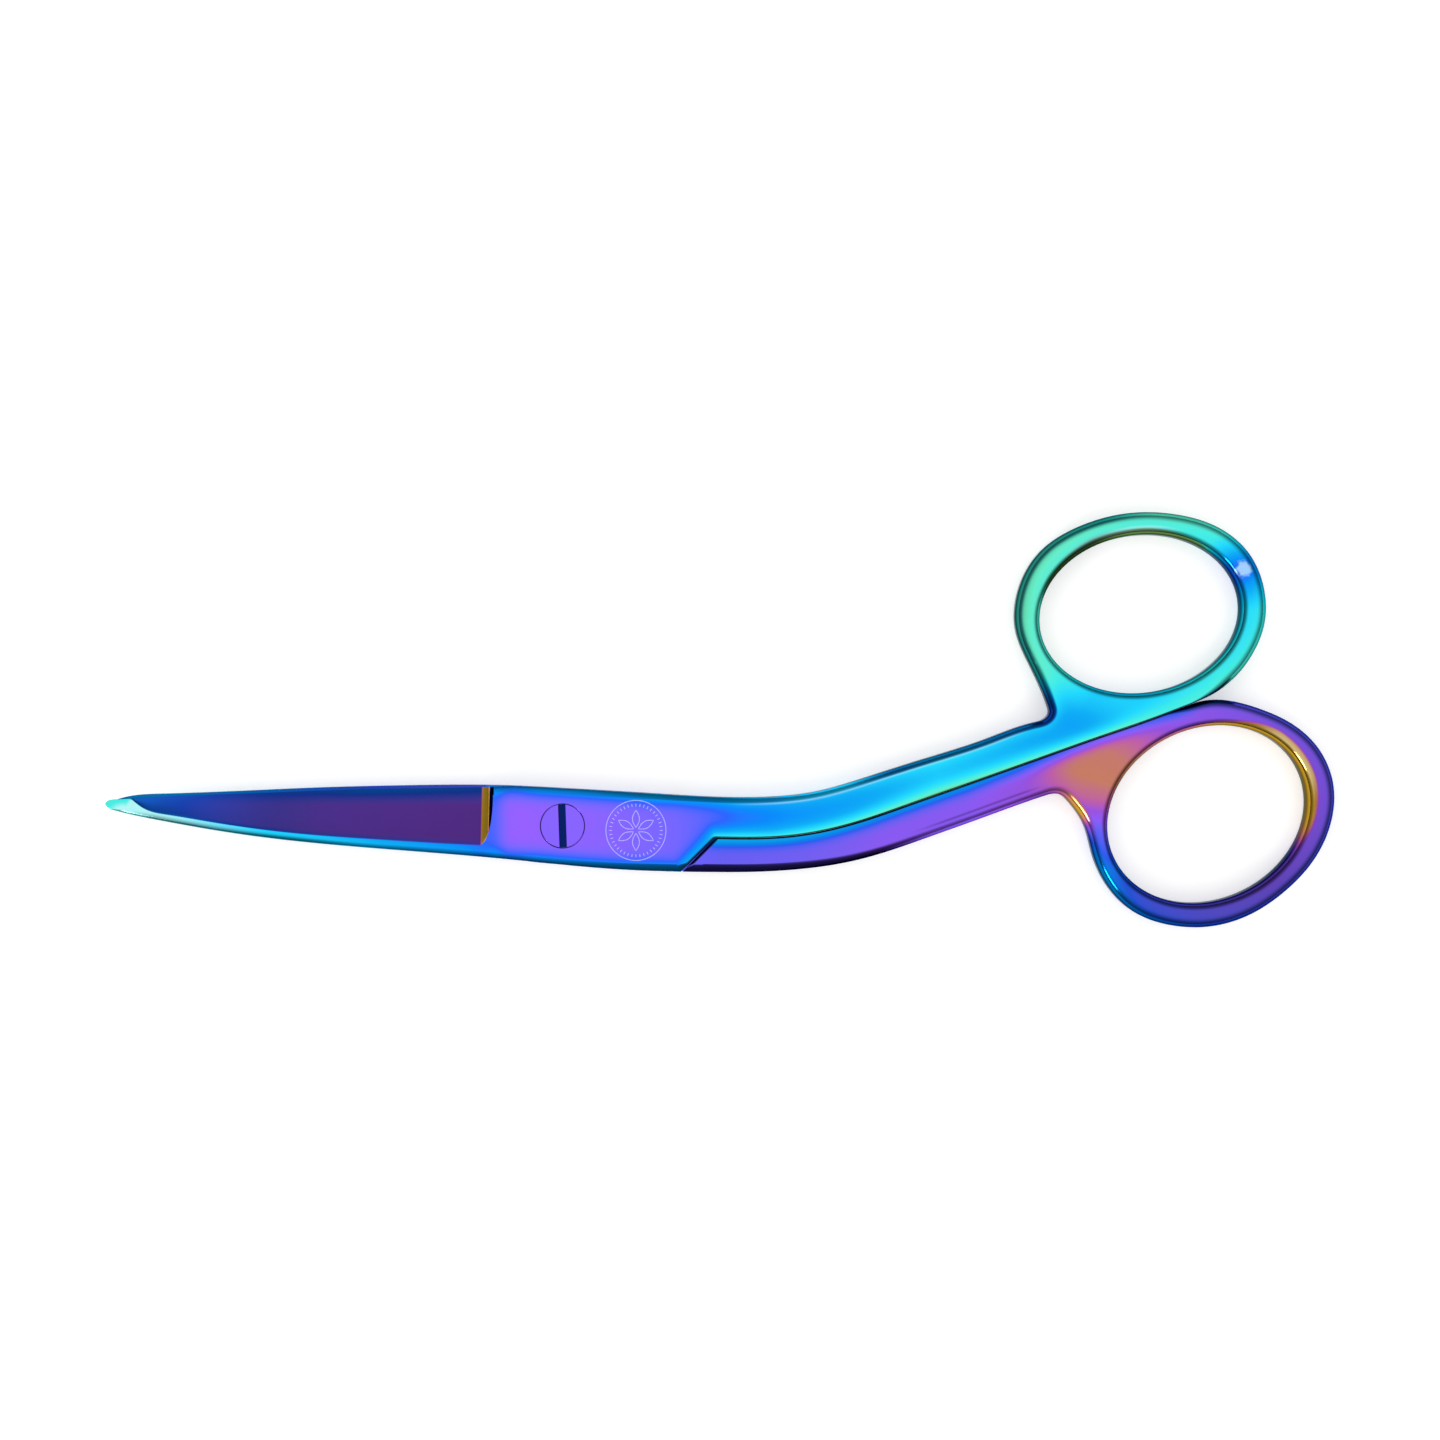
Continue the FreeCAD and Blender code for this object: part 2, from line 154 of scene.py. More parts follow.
def spline(points):
    """A natural cubic spline through the points, as a function of the distance along its chords."""
    p = np.array(points, float)
    d = np.concatenate([[0], np.cumsum(np.hypot(*np.diff(p, axis=0).T))])
    h = np.diff(d)
    n = len(p)
    matrix, right = np.eye(n), np.zeros((n, 2))
    for i in range(1, n - 1):
        matrix[i, i - 1:i + 2] = h[i - 1], 2 * (h[i - 1] + h[i]), h[i]
        right[i] = 6 * ((p[i + 1] - p[i]) / h[i] - (p[i] - p[i - 1]) / h[i - 1])
    bend = np.linalg.solve(matrix, right)

    def at(s):
        i = np.clip(np.searchsorted(d, s) - 1, 0, n - 2)
        a, b, w = (d[i + 1] - s)[:, None], (s - d[i])[:, None], h[i][:, None]
        return ((bend[i] * a ** 3 + bend[i + 1] * b ** 3) / (6 * w)
                + (p[i] / w - bend[i] * w / 6) * a + (p[i + 1] / w - bend[i + 1] * w / 6) * b)
    return at, d


def ease(t):
    """0 to 1 with a level start and end."""
    return t * t * (3 - 2 * t)


def chain(runs, rims, step=STEP):
    """Samples one smooth curve through the runs, with a rim at each end of each run eased in between.
    Gives rows of x, y, width, drop, power, without the last point, which the next chain starts with."""
    points = [point for run in runs for point in run]
    at, d = spline(points)
    marks = [0.0] + [d[sum(len(run) for run in runs[:k + 1]) - 1] for k in range(len(runs))]
    s = np.linspace(0, d[-1], int(d[-1] / step) + 2)[:-1]
    k = np.clip(np.searchsorted(marks, s, side="right") - 1, 0, len(runs) - 1)
    marks, rims = np.array(marks), np.array(rims)
    t = ease((s - marks[k]) / (marks[k + 1] - marks[k]))[:, None]
    return np.hstack([at(s), rims[k] * (1 - t) + rims[k + 1] * t])


def straight(start, end, rim, step=STEP):
    """Samples a straight run, without its last point."""
    t = np.linspace(0, 1, int(math.dist(start, end) / step) + 2)[:-1, None]
    xy = np.array(start) * (1 - t) + np.array(end) * t
    return np.hstack([xy, np.tile(rim, (len(xy), 1))])


def corners(points, rim):
    """Straight runs from point to point, up to but without the last point."""
    return np.vstack([straight(a, b, rim, 0.2) for a, b in zip(points, points[1:])])


def hole_loop(hole, rim):
    """A finger hole, sampled clockwise, so that the steel is on the left of the path."""
    (cx, cy), a, b, tilt = hole
    t = -np.linspace(0, 2 * math.pi, 320, endpoint=False)
    c, s = math.cos(math.radians(tilt)), math.sin(math.radians(tilt))
    xy = np.c_[cx + a * np.cos(t) * c - b * np.sin(t) * s, cy + a * np.cos(t) * s + b * np.sin(t) * c]
    return np.hstack([xy, np.tile(rim, (len(xy), 1))])


def circle_loop(radius, rim, count=128):
    """A bore around the pivot, sampled clockwise like hole_loop."""
    t = -np.linspace(0, 2 * math.pi, count, endpoint=False)
    return np.hstack([np.c_[radius * np.cos(t), radius * np.sin(t)], np.tile(rim, (count, 1))])


def shifted(points, dy):
    return [(x, y + dy) for x, y in points]


# ---- heights ----

def face_level(x):
    """Height of the outer face: flat over the joint and shanks, falling along the blade to its thin tip."""
    share = np.clip((JOINT_END_X - x) / (JOINT_END_X - TIP_X), 0, 1)
    return THICKNESS - share * (THICKNESS - PLAIN_FACE - TIP_THICKNESS)


def soft_min(a, b, k=0.05):
    """The lower of two heights, blended where they are within k of each other."""
    h = np.clip(k - np.abs(a - b), 0, None) / k
    return np.minimum(a, b) - h * h * k / 4


def dense(points):
    """The smooth curve through the points, sampled finely and sorted by x."""
    at, d = spline(points)
    line = at(np.linspace(0, d[-1], 400))
    return line[np.argsort(line[:, 0])]


RIDGE_LINE = dense(RIDGE)
EDGE_LINE = dense(CUTTING_EDGE)


def lookup(line, x):
    return np.interp(x, line[:, 0], line[:, 1])


def run_up(x):
    """How far the grinding wheel's round edge lifts a ground face where it ends at the joint."""
    u = np.clip(x - FACET_START_X, 0, PLUNGE_RADIUS)
    return PLUNGE_RADIUS - np.sqrt(np.maximum(PLUNGE_RADIUS ** 2 - u ** 2, 0))


def ground_facet(x, y):
    """Height of the hollow-ground facet, which runs up to the joint in a round plunge."""
    ridge, edge = lookup(RIDGE_LINE, x), lookup(EDGE_LINE, x)
    width = np.maximum(edge - ridge, 0.35)
    t = (y - ridge) / width
    fall = np.minimum(face_level(x) - EDGE_LEVEL, FACET_SLOPE * width)
    z = face_level(x) - fall * t - 4 * HOLLOW * np.clip(t, 0, 1) * (1 - np.clip(t, 0, 1))
    return np.where(x >= JOINT_END_X, NOWHERE, z + run_up(x))


def comb_bevel(x, y):
    """Height, from the mating face outwards, of the bevel that thins the comb's teeth."""
    share = np.clip((JOINT_END_X - x) / (JOINT_END_X - TIP_X), 0, 1)
    root = ROOT_Y_NEAR + 1 + share * (ROOT_Y_FAR - ROOT_Y_NEAR - 0.5)
    z = face_level(x) - 0.27 * (root - y)
    return np.where(x >= JOINT_END_X, NOWHERE, z + run_up(x))


def no_cut(x, y):
    return np.full(np.shape(x), NOWHERE)


def run_out(line, rim):
    """A cut that carries a shank's bevel, at full width, past the sharp corner where its line starts."""
    corner = np.array(line[0])
    at, d = spline(line)
    ahead = at(np.linspace(0, 1.5 * RUN_OUT_REACH, 200))
    step = (corner - ahead[5]) / np.linalg.norm(corner - ahead[5])
    samples = np.vstack([ahead, corner + step * np.linspace(0, RUN_OUT_REACH, 100)[:, None]])
    width, drop, power = rim

    def cut(x, y):
        xy = np.c_[np.ravel(x), np.ravel(y)]
        share = np.clip(1 - nearest(xy, samples) / width, 0, 1)
        z = THICKNESS - drop * (1 - (1 - share ** power) ** (1 / power))
        return np.where(np.hypot(*(xy - corner).T) < RUN_OUT_REACH, z, NOWHERE)
    return cut


# ---- sheets: a rim all round each loop, and a filled face inside ----

def inward(xy):
    """For each sample of a loop, the step that moves both neighbouring sides inwards by one."""
    ahead = np.roll(xy, -1, 0) - xy
    ahead /= np.linalg.norm(ahead, axis=1)[:, None]
    left = np.c_[-ahead[:, 1], ahead[:, 0]]
    before = np.roll(left, 1, 0)
    mitre = left + before
    scale = np.maximum(1 + np.sum(left * before, 1), 0.3)
    return mitre / scale[:, None]


def pinched(rows):
    """The same loop with its rims narrowed towards each sharp corner, so that no rim crosses another."""
    xy = rows[:, :2]
    side = np.roll(xy, -1, 0) - xy
    side /= np.linalg.norm(side, axis=1)[:, None]
    before = np.roll(side, 1, 0)
    turn = np.arctan2(before[:, 0] * side[:, 1] - before[:, 1] * side[:, 0], np.sum(before * side, 1))
    share = np.ones(len(rows))
    for k in np.flatnonzero(turn > SHARP_TURN):
        room = 0.9 * np.hypot(*(xy - xy[k]).T) * math.tan((math.pi - turn[k]) / 2) + 0.02
        share = np.minimum(share, room / rows[:, 2])
    rows = rows.copy()
    rows[:, 2:4] *= share[:, None]
    return rows


def is_inside(xy, loop):
    """Which of the points xy lie inside the closed loop."""
    a, b = loop, np.roll(loop, -1, 0)
    inside = np.zeros(len(xy), bool)
    for (ax, ay), (bx, by) in zip(a, b):
        if ay == by:
            continue
        crosses = (ay > xy[:, 1]) != (by > xy[:, 1])
        inside ^= crosses & (xy[:, 0] < ax + (xy[:, 1] - ay) * (bx - ax) / (by - ay))
    return inside


def nearest(xy, samples):
    """Distance from each of the points xy to the nearest sample."""
    out = np.empty(len(xy))
    for start in range(0, len(xy), 500):
        part = xy[start:start + 500]
        out[start:start + 500] = np.sqrt(((part[:, None, :] - samples[None]) ** 2).sum(2).min(1))
    return out


class Builder:
    """Gathers points (mm) and faces, then makes one object."""

    def __init__(self):
        self.points, self.faces = [], []

    def add(self, xyz):
        start = sum(len(p) for p in self.points)
        self.points.append(np.asarray(xyz, float))
        return np.arange(start, start + len(xyz))

    def ring(self, xy, z):
        return self.add(np.c_[xy, np.broadcast_to(z, (len(xy),))])

    def band(self, outer, inner, flip):
        """Quads between two closed loops of the same length."""
        for i in range(len(outer)):
            j = (i + 1) % len(outer)
            quad = (outer[i], outer[j], inner[j], inner[i])
            self.faces.append(quad[::-1] if flip else quad)

    def finish(self, name, fields):
        """fields holds values for the materials: a function of the points (mm) for each name."""
        mesh = bpy.data.meshes.new(name)
        points = np.vstack(self.points)
        mesh.from_pydata((points * MM).tolist(), [], [tuple(int(i) for i in f) for f in self.faces])
        for key, field in fields.items():
            values = field(points).astype(np.float32)
            mesh.attributes.new(key, "FLOAT", "POINT").data.foreach_set("value", values)
        work = bmesh.new()
        work.from_mesh(mesh)
        bmesh.ops.remove_doubles(work, verts=work.verts, dist=2e-6)
        bmesh.ops.dissolve_degenerate(work, edges=work.edges, dist=1e-7)
        bmesh.ops.recalc_face_normals(work, faces=work.faces)
        work.to_mesh(mesh)
        work.free()
        mesh.shade_smooth()
        mesh.set_sharp_from_angle(angle=math.radians(38))
        piece = bpy.data.objects.new(name, mesh)
        bpy.context.scene.collection.objects.link(piece)
        return piece


def fill(builder, loops, inner_points, height, edge_samples, flip, to_z):
    """Triangles inside the first loop and outside the others, through the inner points."""
    xy = np.vstack([loop["xy"] for loop in loops] + [inner_points])
    edges, start = [], 0
    for loop in loops:
        count = len(loop["xy"])
        edges += [(start + i, start + (i + 1) % count) for i in range(count)]
        start += count
    result = delaunay_2d_cdt([Vector(p) for p in xy], edges, [], 1, 1e-6)
    new_xy = np.array([tuple(v) for v in result[0]])
    index = np.full(len(new_xy), -1)
    ring_ids = np.concatenate([loop["ids"] for loop in loops])
    for k, origins in enumerate(result[3]):
        for origin in origins:
            if origin < len(ring_ids):
                index[k] = ring_ids[origin]
                break
    fresh = np.flatnonzero(index < 0)
    distance = nearest(new_xy[fresh], edge_samples) if len(fresh) else np.zeros(0)
    x, y = new_xy[fresh].T if len(fresh) else (np.zeros(0), np.zeros(0))
    z = height(x, y, distance, 0.0)
    index[fresh] = builder.add(np.c_[x, y, to_z(z)])
    triangles = np.array([f for f in result[2]])
    centres = new_xy[triangles].mean(1)
    keep = is_inside(centres, loops[0]["xy"])
    for loop in loops[1:]:
        keep &= ~is_inside(centres, loop["xy"])
    for a, b, c in index[triangles[keep]]:
        builder.faces.append((c, b, a) if flip else (a, b, c))


def fitted(outlines):
    """The outlines with their rims narrowed where the part between two of them is narrow."""
    out = []
    for k, rows in enumerate(outlines):
        rows = pinched(rows)
        others = [other[:, :2] for n, other in enumerate(outlines) if n != k]
        if others:
            room = nearest(rows[:, :2], np.vstack(others)) * (HOLE_SHARE if k else OUTER_SHARE)
            rows[:, 2] = np.minimum(rows[:, 2], room)
        out.append(rows)
    return out


def sheet(builder, outlines, cut, bases, inner_points, flip=False):
    """One outer face with its rims. bases are the levels that the outlines' walls reach."""
    def to_z(z):
        return THICKNESS - z if flip else z

    samples = np.vstack([o[:, :2] for o in outlines])

    def height(x, y, distance, drop):
        flat = face_level(x) - CROWN * np.exp(-distance / CROWN_REACH) - drop
        return soft_min(flat, cut(x, y))

    loops = []
    phi = np.linspace(0, math.pi / 2, PROFILE_STEPS)
    for outline, base in zip(fitted(outlines), bases):
        xy, width, drop, power = outline[:, :2], outline[:, 2], outline[:, 3], outline[:, 4]
        step = inward(xy)
        previous = builder.ring(xy, base)
        profile = [(1 - max(math.cos(a), 0.0) ** (2 / power), drop * (1 - math.sin(a) ** (2 / power)))
                   for a in phi]
        for share, fall in profile + [(1.03, 0.0), (1.06, 0.0)]:
            place = xy + step * (width * share)[:, None]
            z = height(place[:, 0], place[:, 1], width * share, fall)
            z = np.maximum(z, PLAIN_FACE + 0.02) if base != SEAT_LEVEL else z
            ids = builder.add(np.c_[place, to_z(z)])
            builder.band(previous, ids, flip)
            previous = ids
        loops.append({"xy": place, "ids": previous})
    keep = is_inside(inner_points, loops[0]["xy"])
    for loop in loops[1:]:
        keep &= ~is_inside(inner_points, loop["xy"])
    rims = np.vstack([loop["xy"] for loop in loops])
    inner_points = inner_points[keep]
    inner_points = inner_points[nearest(inner_points, rims) > 0.1]
    fill(builder, loops, inner_points, height, samples, flip, to_z)


def flat_face(builder, outlines, level, up):
    """A plain face at one level inside the first outline and outside the others."""
    loops = []
    for outline in outlines:
        ids = builder.ring(outline[:, :2], level)
        loops.append({"xy": outline[:, :2], "ids": ids})
    fill(builder, loops, np.zeros((0, 2)), lambda x, y, d, drop: np.full(np.shape(x), level),
         np.vstack([o[:, :2] for o in outlines]), not up, lambda z: z)


def grid(x0, x1, y0, y1, step):
    """Points in a hexagonal pattern."""
    rows = []
    for k, y in enumerate(np.arange(y0, y1, step * 0.866)):
        x = np.arange(x0 + (k % 2) * step / 2, x1, step)
        rows.append(np.c_[x, np.full(len(x), y)])
    return np.vstack(rows)


def blade_points():
    """Points that follow the facet, close together along its ridge and its plunge."""
    rows = []
    by_ridge = [-0.3, -0.18, -0.09, -0.03, 0.03, 0.09, 0.18, 0.3]
    for x in np.r_[np.arange(-54.6, -51, 0.1), np.arange(-51, FACET_START_X, 0.4)]:
        ridge, edge = lookup(RIDGE_LINE, x), lookup(EDGE_LINE, x)
        rows += [(x, ridge + dy) for dy in by_ridge]
        rows += [(x, y) for y in np.arange(ridge + 0.6, edge - 0.2, 0.35)]
    for angle in np.radians(np.arange(3, 88, 6)):
        x = FACET_START_X + PLUNGE_RADIUS * math.sin(angle)
        rows += [(x, y) for y in np.arange(-2.7, 4.8, 0.22)]
    for y in np.arange(-2.45, 4.7, 0.12):
        depth = THICKNESS - facet_level_at_plunge(y)
        reach = math.sqrt(max(PLUNGE_RADIUS ** 2 - (PLUNGE_RADIUS - depth) ** 2, 0))
        rows += [(FACET_START_X + reach + dx, y) for dx in (-0.1, -0.04, 0.0, 0.05, 0.14)]
    return np.array(rows)


def facet_level_at_plunge(y):
    """Height of the facet at the plunge, before its round run-up."""
    x = np.array([FACET_START_X])
    return float(ground_facet(x, np.array([y]))[0])


# ---- the two forgings ----

def facet_share(points):
    """How far across the ground facet each point lies, from 0 on its ridge to 1 at the cutting edge."""
    x, y, z = points.T
    ridge, edge = lookup(RIDGE_LINE, x), lookup(EDGE_LINE, x)
    share = np.clip((y - ridge) / np.maximum(edge - ridge, 0.35), 0, 1)
    cut = np.clip((face_level(x) - ground_facet(x, y)) / 0.03, 0, 1)
    return np.where(z > PLAIN_FACE + 0.03, share * cut, 0.0)


def distances(outline, parting, hole):
    """Fields for the materials: the distances to the outline, the parting line and the finger hole."""
    along = outline[is_near(outline, parting)]
    return {"edge_mm": lambda points: nearest(points[:, :2], outline[:, :2]),
            "seam_mm": lambda points: nearest(points[:, :2], along[:, :2]),
            "hole_mm": lambda points: nearest(points[:, :2], hole[:, :2])}


def is_near(rows, points):
    """Which outline samples lie on the smooth curve through the points."""
    at, d = spline(points)
    return nearest(rows[:, :2], at(np.linspace(0, d[-1], 600))) < 0.08


def tapped_bore(builder, upper, upper_z, radius, lower_z):
    """A bore's floor and wall, from the loop ids upper down to a circle at lower_z."""
    circle = circle_loop(radius, SEAT_RIM)[:, :2]
    floor = builder.ring(circle, upper_z)
    builder.band(upper, floor, False)
    builder.band(floor, builder.ring(circle, lower_z), False)


def plain_half():
    """Plain blade in the upper layer, with the upper shank and ring."""
    parting = shifted(PARTING, PARTING_GAP / 2)
    back = chain([parting, UPPER_RING_TURN, UPPER_RING, UPPER_CROTCH, SHANK_TOP, JOINT_TOP],
                 [GROOVE, GROOVE, RING, RING, CROTCH, SHANK_HIGH, JOINT_HIGH])
    edge = chain([CUTTING_EDGE[:3], CUTTING_EDGE[3:]], [JOINT_HIGH, KEEN, NO_RIM])
    low = chain([TIP_NOSE, BLADE_SPINE, JOINT_BOTTOM], [NO_RIM, NOSE, SPINE, JOINT_LOW])
    start, end = np.array(JOINT_BOTTOM[-1]), np.array(parting[0])
    shoulder = chain([[start, start + (end - start) / 4], [end]], [JOINT_LOW, SHOULDER, SHOULDER])
    hole = hole_loop(UPPER_HOLE, HOLE)
    seat = circle_loop(SEAT_RADIUS, SEAT_RIM)
    builder = Builder()
    points = np.vstack([blade_points(), grid(-8.3, 87, -6, 39, 0.7)])
    outline = np.vstack([back, edge, low, shoulder])
    sheet(builder, [outline, hole, seat], ground_facet, [PLAIN_FACE, PLAIN_FACE, SEAT_LEVEL], points)
    split = int(np.argmin(np.hypot(*(back[:, :2] - SHANK_TOP[-1]).T)))
    rear = straight(tuple(back[split, :2]), tuple(back[0, :2]), SHOULDER)
    fine = grid(14.4, 19, 2, 4, 0.12)
    sheet(builder, [np.vstack([back[:split], rear]), hole], run_out(SHANK_TOP[::-1], SHANK_HIGH),
          [PLAIN_FACE, PLAIN_FACE], np.vstack([grid(14, 87, -6, 39, 0.9), fine]), flip=True)
    bore = circle_loop(SHOULDER_BORE, SEAT_RIM)
    inner = np.vstack([back[split:], edge, low, shoulder, back[:1], rear[:0:-1]])
    flat_face(builder, [inner, bore], PLAIN_FACE, up=False)
    tapped_bore(builder, builder.ring(seat[:, :2], SEAT_LEVEL), SEAT_LEVEL, SHOULDER_BORE, PLAIN_FACE)
    fields = distances(outline, parting, hole)
    fields["facet_share"] = facet_share
    return builder.finish("plain_half_forging", fields)


def comb_path():
    """The comb's toothed side from the tip to the joint: gaps with round roots, and notched teeth."""
    ends = dense(COMB_TEETH)
    half_gap = TOOTH_GAP / 2
    half_tooth = (TOOTH_PITCH - TOOTH_GAP) / 2
    last_gap_x = FIRST_GAP_X - TOOTH_COUNT * TOOTH_PITCH
    path = [(x, float(lookup(ends, x))) for x in np.arange(-56.4, last_gap_x, 0.4)]
    path[0] = COMB_TEETH[0]
    for number in reversed(range(TOOTH_COUNT)):
        x = FIRST_GAP_X - number * TOOTH_PITCH
        root = ROOT_Y_NEAR + number / (TOOTH_COUNT - 1) * (ROOT_Y_FAR - ROOT_Y_NEAR)
        path.append((x - half_gap, float(lookup(ends, x - half_gap))))
        turn = [math.pi - k * math.pi / 8 for k in range(9)]
        path += [(x + half_gap * math.cos(a), root + half_gap * math.sin(a)) for a in turn]
        path.append((x + half_gap, float(lookup(ends, x + half_gap))))
        if number:
            middle = x + TOOTH_PITCH / 2
            end = float(lookup(ends, middle))
            half_notch = half_tooth * NOTCH_SHARE
            path += [(middle - half_notch, end), (middle, end + NOTCH_DEPTH), (middle + half_notch, end)]
    return path + [COMB_TEETH[-1]]


def comb_half():
    """Comb blade in the lower layer, with the lower shank and ring."""
    parting = shifted(PARTING[::-1], -PARTING_GAP / 2)
    back = chain([SHANK_BOTTOM, LOWER_CROTCH, LOWER_RING, LOWER_RING_TURN, parting[:2], parting[2:]],
                 [SHANK_LOW, CROTCH, RING, RING, RING, GROOVE, GROOVE])
    shoulder = straight(parting[-1], SHANK_BOTTOM[0], SHOULDER, 0.12)
    rear = straight(parting[-1], REAR_SHOULDER_TOP, SHOULDER)
    high = chain([[REAR_SHOULDER_TOP] + JOINT_TOP, COMB_SPINE], [SHOULDER, JOINT_HIGH, NO_RIM])
    teeth = corners(comb_path(), TOOTH)
    low = chain([[COMB_TEETH[-1], (-6, -4.2)], JOINT_BOTTOM], [TOOTH, JOINT_LOW, SHANK_LOW])
    land = straight(JOINT_BOTTOM[-1], SHANK_BOTTOM[0], SHANK_LOW)
    hole = hole_loop(LOWER_HOLE, HOLE)
    bore = circle_loop(THREAD_BORE, SEAT_RIM)
    builder = Builder()
    fine = grid(14.4, 19, -5.8, -4, 0.12)
    sheet(builder, [np.vstack([back, shoulder]), hole], run_out(SHANK_BOTTOM, SHANK_LOW),
          [COMB_FACE, COMB_FACE], np.vstack([grid(14, 96, -13, 16, 0.7), fine]))
    points = np.vstack([grid(-56, -11, -4, 5, 0.4), grid(-11, -8.2, -4, 5, 0.2),
                        grid(-8, 96, -13, 16, 0.9)])
    outline = np.vstack([back, rear, high, teeth, low, land])
    sheet(builder, [outline, hole, bore], comb_bevel, [COMB_FACE] * 3, points, flip=True)
    inner = np.vstack([back[:1], shoulder[:0:-1], rear, high, teeth, low, land])
    flat_face(builder, [inner, bore], COMB_FACE, up=True)
    return builder.finish("comb_half_forging", distances(outline, parting, hole))


# ---- the screw ----

def turned(xy, degrees):
    c, s = math.cos(math.radians(degrees)), math.sin(math.radians(degrees))
    return xy @ np.array([[c, s], [-s, c]])


def flush_screw():
    """Flush head in two segments beside the slot, and the turned shoulder and end below."""
    reach = math.acos(SLOT_WIDTH / 2 / HEAD_RADIUS)
    arc = np.linspace(-reach, reach, 61)
    right_arc = HEAD_RADIUS * np.c_[np.cos(arc), np.sin(arc)]
    chord = straight(tuple(right_arc[-1]), tuple(right_arc[0]), HEAD_RIM, 0.15)[:, :2]
    gap = np.linspace(reach, math.pi - reach, 9)
    top_gap = HEAD_RADIUS * np.c_[np.cos(gap), np.sin(gap)]
    builder = Builder()
    floor_level = THICKNESS - SLOT_DEPTH
    for tilt in (SLOT_TILT, SLOT_TILT + 180):
        segment = turned(np.vstack([right_arc[:-1], chord]), tilt)
        outline = np.hstack([segment, np.tile(HEAD_RIM, (len(segment), 1))])
        sheet(builder, [outline], no_cut, [floor_level], grid(-3, 3, -3, 3, 0.35))
    slot = np.vstack([turned(chord, SLOT_TILT)[::-1], turned(top_gap[:-1], SLOT_TILT),
                      turned(chord, SLOT_TILT + 180)[::-1], turned(top_gap[:-1], SLOT_TILT + 180)])
    flat_face(builder, [slot], floor_level, up=True)
    rim = np.vstack([turned(part, SLOT_TILT + side)
                     for side in (0, 180) for part in (right_arc[:-1], top_gap[:-1])])
    previous = builder.ring(rim, floor_level)
    for radius, z in LATHE:
        level = builder.ring(rim * radius / HEAD_RADIUS, z)
        builder.band(level, previous, False)
        previous = level
    builder.faces.append(tuple(previous[::-1]))
    return builder.finish("flush_slotted_screw", {})


# ---- the etched mark ----

def ribbon(builder, line, width, closed, z):
    """A thin flat band along a line."""
    ahead = np.roll(line, -1, 0) - np.roll(line, 1, 0)
    if not closed:
        ahead[0], ahead[-1] = line[1] - line[0], line[-1] - line[-2]
    side = np.c_[-ahead[:, 1], ahead[:, 0]] / np.linalg.norm(ahead, axis=1)[:, None] * width / 2
    left, right = builder.ring(line + side, z), builder.ring(line - side, z)
    count = len(line) if closed else len(line) - 1
    for i in range(count):
        j = (i + 1) % len(line)
        builder.faces.append((left[i], right[i], right[j], left[j]))


def etched_rosette():
    """A generic laser-etched mark: a ring, a circle of small dashes and a six-petal rosette."""
    centre = np.array(MARK_CENTRE)
    builder = Builder()
    turn = np.linspace(0, 2 * math.pi, 120, endpoint=False)
    unit = np.c_[np.cos(turn), np.sin(turn)]
    ribbon(builder, centre + MARK_RADIUS * unit, MARK_LINE, True, MARK_LEVEL)
    for k in range(MARK_DASHES):
        a = 2 * math.pi * k / MARK_DASHES
        arm = np.array([math.cos(a), math.sin(a)])
        dash = centre + np.array([arm * MARK_DASH_FROM, arm * MARK_DASH_TO])
        ribbon(builder, dash, MARK_LINE, False, MARK_LEVEL)
    t = np.linspace(0, 1, 16)
    start = np.array([MARK_PETAL * PETAL_START, 0.0])
    side = np.c_[t, MARK_PETAL_WIDTH * np.sin(math.pi * t)]
    other = (side * [1, -1])[::-1][1:-1]
    petal = start + np.r_[side, other] * MARK_PETAL * PETAL_END
    for k in range(MARK_PETALS):
        ribbon(builder, centre + turned(petal, 60 * k + 30), MARK_LINE, True, MARK_LEVEL)
    return builder.finish("etched_rosette", {})


# ---- materials ----

